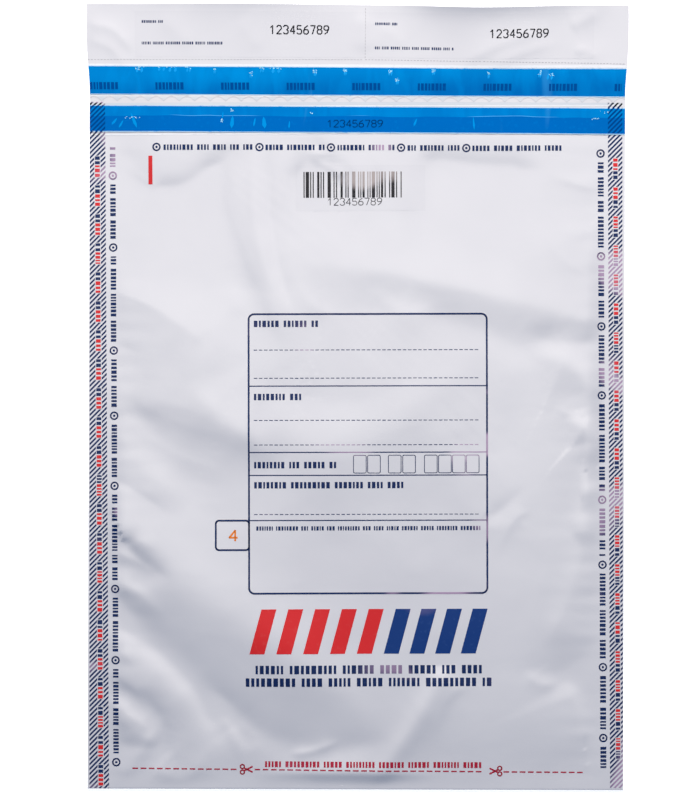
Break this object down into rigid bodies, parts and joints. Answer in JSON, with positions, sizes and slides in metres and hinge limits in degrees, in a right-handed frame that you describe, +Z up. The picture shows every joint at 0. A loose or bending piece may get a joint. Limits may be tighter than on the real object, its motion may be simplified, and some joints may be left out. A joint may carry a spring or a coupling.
{
  "type": "poly mailer bag",
  "caption": "Flat empty poly mailer: folded film pocket with welded sides, scalloped open mouth, flap with tear-off receipt strip and blue sealing tapes.",
  "frame": {"origin": "middle of the bag's outline, on the surface that it lies on", "axes": "+X across the bag, +Y from the folded bottom towards the receipt strip, +Z up out of the printed face"},
  "size_m": [0.2678, 0.39, 0.0033],
  "materials": {
    "film": "satin white polyethylene film",
    "security_tape": "glossy blue tape",
    "release_liner": "glossy translucent blue liner",
    "adhesive": "wet tacky blue adhesive"
  },
  "bodies": {
    "root": {"bag_film": "film", "flap_security_tape": "security_tape", "mouth_adhesive_bed": "adhesive", "mouth_release_liner": "release_liner"}
  },
  "joints": []
}
